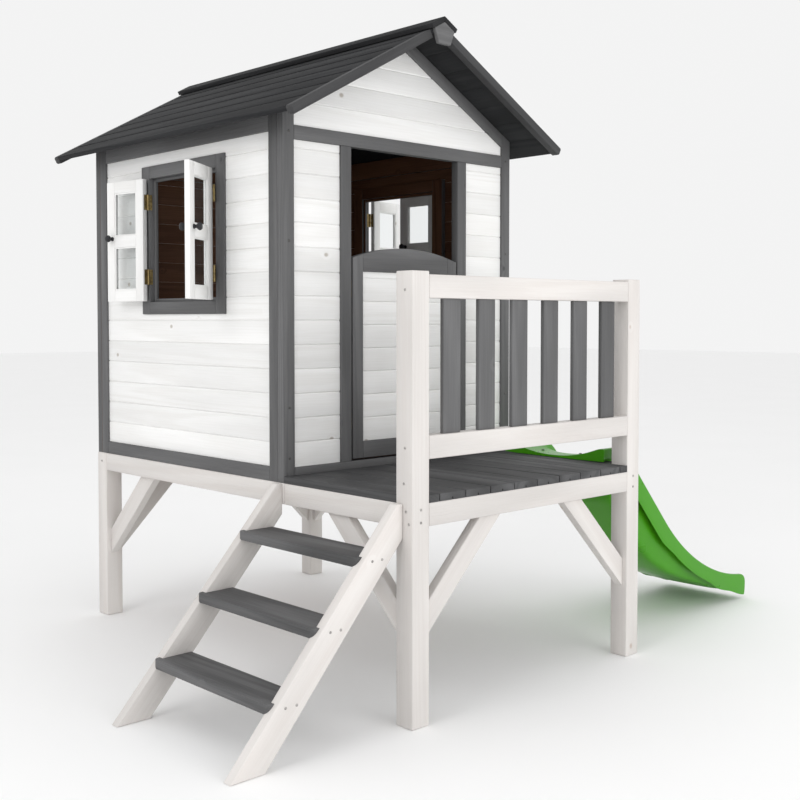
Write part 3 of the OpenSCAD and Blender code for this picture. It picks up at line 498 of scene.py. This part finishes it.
def slide():
    """The moulded trough with turned-down rims, from the deck to its rounded tip, in mm."""
    low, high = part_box("slide")
    start_x, rim_z, centre_y = 1000 * low.x, 1000 * high.z, 500 * (low.y + high.y)
    wide, narrow, rise = 500 * (high.y - low.y), 157.0, 40.0
    steep, end = math.radians(48), math.radians(5)
    top_r, foot_r, straight, lead, lip = 88.0, 780.0, 325.0, 113.0, 57.0
    wall, tip_r = 5.0, 26.0
    deepest, shallow, deep_from, shoal_from = 128, 62, 300, 480
    # Across in the bowl and in the flat bed, the bed's rise, the inner skin's shift in and up.
    stations = ((0.2, 0.32, 0, 0, wall), (0.47, 0.66, 0.012, 1, wall),
                (0.61, 0.76, 0.07, 3.5, wall - 1.5), (0.74, 0.8, 0.2, 5, 1.5))
    bend = top_r * steep
    length = lead + bend + straight + foot_r * (steep - end)

    def rim_at(s):
        """The rim line's place and slope at a length s along it."""
        if s < lead:
            return start_x + s, rim_z, 0.0
        if s < lead + bend:
            a = (s - lead) / top_r
            return start_x + lead + top_r * math.sin(a), rim_z - top_r * (1 - math.cos(a)), a
        x = start_x + lead + top_r * math.sin(steep)
        z = rim_z - top_r * (1 - math.cos(steep))
        run = min(s - lead - bend, straight)
        x, z = x + run * math.cos(steep), z - run * math.sin(steep)
        a = steep - max(0.0, s - lead - bend - straight) / foot_r
        return (x + foot_r * (math.sin(steep) - math.sin(a)),
                z - foot_r * (math.cos(a) - math.cos(steep)), a)

    def section(s):
        """The cross-section's outline as (across, depth under the rim line)."""
        k = ease(0, 1, (s - lip) / 220)
        half = ease(wide, narrow, (s - lip) / 150)
        top = half - 13
        if s < deep_from:
            deep = ease(rise, deepest, (s - lip) / (deep_from - lip))
        else:
            deep = ease(deepest, shallow, (s - shoal_from) / 420)
        over = min(0.98 * tip_r, max(0.0, s - length + tip_r))
        drop = tip_r - math.sqrt(tip_r ** 2 - over ** 2)
        skirt = (ease(34, 58, (s - lip) / 150) - ease(0, 10, (s - 540) / 100)
                 + ease(0, 12, (s - 850) / 100) + ease(0, 14, (s - length + 100) / 100))
        under, bed = [], []
        for bowl, flat, up, inward, upward in stations:
            across = bowl + (flat - bowl) * k
            round_d = deep * (1 - across ** 2)
            point = (across * half, round_d + (deep * (1 - up) - round_d) * k)
            shift = 0.8 * len(bed)
            under.append(point)
            bed.append((point[0] - shift - (inward - shift) * k,
                        point[1] - wall - (upward - wall) * k))
        if s > wall:
            under += [(top - 11 + 7 * k, drop + 7 + 9 * k), (top - 5 + 4.5 * k, drop + 5 + 2 * k),
                      (half - wall, drop + wall + 3), (half - wall, skirt), (half, skirt)]
        else:
            under = [(x * half, rise - 1.5 * x * x)
                     for x in (0.2, 0.4, 0.6, 0.74, 0.85, 0.91, 0.95, 0.98, 1)]
        rim = [(half, drop + 4), (half - 1.5, drop + 1), (half - 5, drop), (top, drop),
               (top - 5, drop + 1.5), (top - 9, drop + 2 + 10 * k)]
        right = under + rim + bed[::-1]
        outline = right + [(-y, z) for y, z in reversed(right)]
        for _ in range(2):
            outline = corners_cut(outline)
        return outline

    steps = [0.0, wall, wall + 0.6] + [wall + 0.6 + i * (length - tip_r - wall - 0.6) / 120
                                       for i in range(1, 121)]
    steps += [length - tip_r * (1 - math.sin(math.radians(i * 9))) for i in range(1, 11)]
    bm = bmesh.new()
    rings = []
    for s in steps:
        x, z, a = rim_at(s)
        rings.append([bm.verts.new(Vector((x - d * math.sin(a), centre_y + y,
                                           z - d * math.cos(a))) / 1000)
                      for y, d in section(s)])
    for here, beyond in zip(rings, rings[1:]):
        for i in range(len(here)):
            j = (i + 1) % len(here)
            bm.faces.new((here[i], here[j], beyond[j], beyond[i]))
    bm.faces.new(rings[0][::-1])
    bm.faces.new(rings[-1])
    bmesh.ops.recalc_face_normals(bm, faces=bm.faces)
    made = finished("slide_shell", bm, [PLASTIC], "house", smooth=40.0)
    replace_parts(made, "slide")


def corners_cut(outline):
    """One pass of corner cutting round a closed outline."""
    cut = []
    for (ax, ay), (bx, by) in zip(outline, outline[1:] + outline[:1]):
        cut.append((0.75 * ax + 0.25 * bx, 0.75 * ay + 0.25 * by))
        cut.append((0.25 * ax + 0.75 * bx, 0.25 * ay + 0.75 * by))
    return cut


# ---- screws ----

def screw_head():
    """A unit screw head along +Z with a cross recess."""
    head = bmesh.new()
    profile = [(1.0, 0.0), (0.98, 0.16), (0.84, 0.34), (0.6, 0.46), (0.3, 0.5)]
    turns = 20
    rings = [[head.verts.new((r * math.cos(2 * math.pi * k / turns),
                              r * math.sin(2 * math.pi * k / turns), z)) for k in range(turns)]
             for r, z in profile]
    for lower, upper in zip(rings, rings[1:]):
        for k in range(turns):
            m = (k + 1) % turns
            head.faces.new((lower[k], lower[m], upper[m], upper[k]))
    head.faces.new(rings[0][::-1])
    head.faces.new(rings[-1])
    cross = bmesh.new()
    arm, reach = 0.11, 0.5
    outline = [(arm, arm), (reach, arm), (reach, -arm), (arm, -arm), (arm, -reach),
               (-arm, -reach), (-arm, -arm), (-reach, -arm), (-reach, arm), (-arm, arm),
               (-arm, reach), (arm, reach)]
    deep = [cross.verts.new((0.7 * x, 0.7 * y, 0.18)) for x, y in outline]
    shallow = [cross.verts.new((x, y, 0.7)) for x, y in outline]
    for k in range(len(outline)):
        m = (k + 1) % len(outline)
        cross.faces.new((deep[k], deep[m], shallow[m], shallow[k]))
    cross.faces.new(deep)
    cross.faces.new(shallow[::-1])
    meshes = []
    for name, bm in (("screw_blank", head), ("screw_cross", cross)):
        bmesh.ops.recalc_face_normals(bm, faces=bm.faces)
        mesh = bpy.data.meshes.new(name)
        bm.to_mesh(mesh)
        bm.free()
        made = bpy.data.objects.new(name, mesh)
        bpy.context.scene.collection.objects.link(made)
        meshes.append(made)
    blank, cutter = meshes
    carve = blank.modifiers.new("carve", "BOOLEAN")
    carve.object = cutter
    carve.operation = "DIFFERENCE"
    carve.solver = "EXACT"
    bpy.context.view_layer.update()
    graph = bpy.context.evaluated_depsgraph_get()
    result = bpy.data.meshes.new_from_object(blank.evaluated_get(graph))
    for made in meshes:
        bpy.data.objects.remove(made)
    return result


def head_places(node):
    """(foot, direction, radius) of each screw head in a CAD node."""
    bm = cad_mesh(node)
    places = []
    for group in islands(bm):
        low = Vector(min(v.co[i] for v in group) for i in range(3))
        high = Vector(max(v.co[i] for v in group) for i in range(3))
        size = high - low
        thin = min(range(3), key=lambda i: size[i])
        centre = (low + high) / 2
        wide = max(size) / 2
        rim = [v.co[thin] for v in group if (v.co - centre).length > 0.98 * wide]
        base = sum(rim) / len(rim)
        way = Vector((0, 0, 0))
        way[thin] = 1.0 if base < centre[thin] else -1.0
        foot = centre.copy()
        foot[thin] = base
        places.append((foot, way, wide))
    bm.free()
    return places


def screws(name, places, body, material):
    """One object for a group of screw heads, each turned its own way."""
    unit = screw_head()
    bm = bmesh.new()
    for foot, way, radius in places:
        before = len(bm.verts)
        bm.from_mesh(unit)
        bm.verts.ensure_lookup_table()
        spin = Matrix.Rotation(random.uniform(0, math.pi / 2), 4, "Z")
        aim = way.to_track_quat("Z", "Y").to_matrix().to_4x4()
        place = Matrix.Translation(foot) @ aim @ spin @ Matrix.Scale(radius, 4)
        bmesh.ops.transform(bm, matrix=place, verts=bm.verts[before:])
    return finished(name, bm, [material], body)


def ladder_heads():
    """Two screws through each side board into each tread."""
    places = []
    bm = cad_mesh("ladder_treads")
    outer = ((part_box("ladder_side_right")[0].y, -Y), (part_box("ladder_side_left")[1].y, Y))
    for group in islands(bm):
        x0, x1 = (f(v.co.x for v in group) for f in (min, max))
        z0, z1 = (f(v.co.z for v in group) for f in (min, max))
        for share in (0.38, 0.68):
            for y, way in outer:
                foot = Vector((x0 + share * (x1 - x0), y, (z0 + z1) / 2))
                places.append((foot, way, LADDER_SCREW_R))
    bm.free()
    return places


# ---- the whole object ----

def paint_node(node, material):
    """Puts a material straight on a CAD node."""
    data = NODES[node].data
    data.materials.clear()
    data.materials.append(material)
    data.shade_smooth()
    data.set_sharp_from_angle(angle=math.radians(35))


for name in ("leg_rear_left", "leg_rear_right", "post_front_left", "post_front_right",
             "beam_front", "beam_middle", "beam_rear", "deck_side_beams", "house_side_beams",
             "braces", "railing_rails", "ladder_side_left", "ladder_side_right"):
    timber(name, WASHED, edge=0.0025)
for name in ("railing_slats", "door_frame", "ridge_end_blocks"):
    timber(name, GREY)
for name, indoors in (("front_wall_frame", Y), ("rear_wall_frame", -Y), ("left_wall_frame", X),
                      ("right_wall_frame", -X), ("left_window_frame", X),
                      ("right_window_frame", -X)):
    timber(name, GREY, indoors=indoors)
for name in ("roof_boards_left", "roof_boards_right", "ridge_cap", "roof_battens"):
    timber(name, ROOF_PAINTED_SHADE)
timber("verge_boards", VERGE, edge=0.002)
timber("deck_boards", DARK, edge=0.001)
timber("ladder_treads", TREAD, along=Y, edge=0.003)
timber("floor_boards", BROWN)

boarding("left_wall_boards", -X, Y)
boarding("right_wall_boards", X, Y)
for name in ("front_wall_boards", "front_gable_boards", "door_boards"):
    boarding(name, -Y, X)
for name in ("rear_wall_boards", "rear_gable_boards"):
    boarding(name, Y, X)

for side in ("left_near", "left_far", "right_near", "right_far"):
    casement(side)
    paint_node(side + "_panes", PANE)
    paint_node(side + "_hinge_leaves", BRASS)
    timber(side + "_knob", KNOB, along=X, edge=0.0003)
for name in ("hinge_fixed_leaves", "hinge_pins", "door_hinge_leaves"):
    paint_node(name, BRASS)

slide()
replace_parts(screws("slide_screw_heads", head_places("slide_screws"), "house", STEEL),
            "slide_screws")
wall_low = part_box("front_wall_frame")[0]
wall_screws, base_screws = [], ladder_heads()
for place in head_places("wood_screws"):
    on_wall = place[0].z > wall_low.z and place[0].y > wall_low.y - 0.01
    (wall_screws if on_wall else base_screws).append(place)
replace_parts(screws("wall_screw_heads", wall_screws, "house", STEEL), "wood_screws")
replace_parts(screws("base_screw_heads", base_screws, "house", WASHED_STEEL), "wood_screws")


# ---- floor, light and camera ----

floor_mesh = bmesh.new()
bmesh.ops.create_grid(floor_mesh, x_segments=1, y_segments=1, size=30.0)
floor_data = bpy.data.meshes.new("floor")
floor_mesh.to_mesh(floor_data)
floor_mesh.free()
floor_data.materials.append(ground())
floor = bpy.data.objects.new("floor", floor_data)
floor.location.z = -0.0005
bpy.context.scene.collection.objects.link(floor)

world = bpy.data.worlds.new("studio")
world.use_nodes = True
world.node_tree.nodes["Background"].inputs["Color"].default_value = (1.0, 1.0, 1.0, 1)
world.node_tree.nodes["Background"].inputs["Strength"].default_value = 0.90
bpy.context.scene.world = world


def soft_light(name, place, aim, width, watts):
    """A square soft box that points at a spot."""
    lamp = bpy.data.lights.new(name, "AREA")
    lamp.shape = "SQUARE"
    lamp.size = width
    lamp.energy = watts
    made = bpy.data.objects.new(name, lamp)
    made.location = place
    made.rotation_euler = (Vector(aim) - Vector(place)).to_track_quat("-Z", "Y").to_euler()
    bpy.context.scene.collection.objects.link(made)


soft_light("key_left", (-6.0, -1.0, 4.0), (0, 0, 0.9), 3.0, 75)
soft_light("fill_front", (0.2, -6.5, 1.5), (0, 0, 1.2), 4.0, 130)
soft_light("top", (0.0, 0.0, 6.5), (0, 0, 0.8), 4.0, 10)

camera_data = bpy.data.cameras.new("camera")
camera_data.sensor_width = 36.0
camera_data.lens = 50.74
camera_data.shift_y = -0.0491
camera_data.clip_end = 200.0
camera = bpy.data.objects.new("camera", camera_data)
camera.location = (-2.52618, -2.80023, 1.0014)
camera.rotation_euler = (math.radians(90 - 2.05), 0, math.radians(46.634 - 90))
bpy.context.scene.collection.objects.link(camera)
bpy.context.scene.camera = camera
bpy.context.scene.view_settings.view_transform = "Standard"
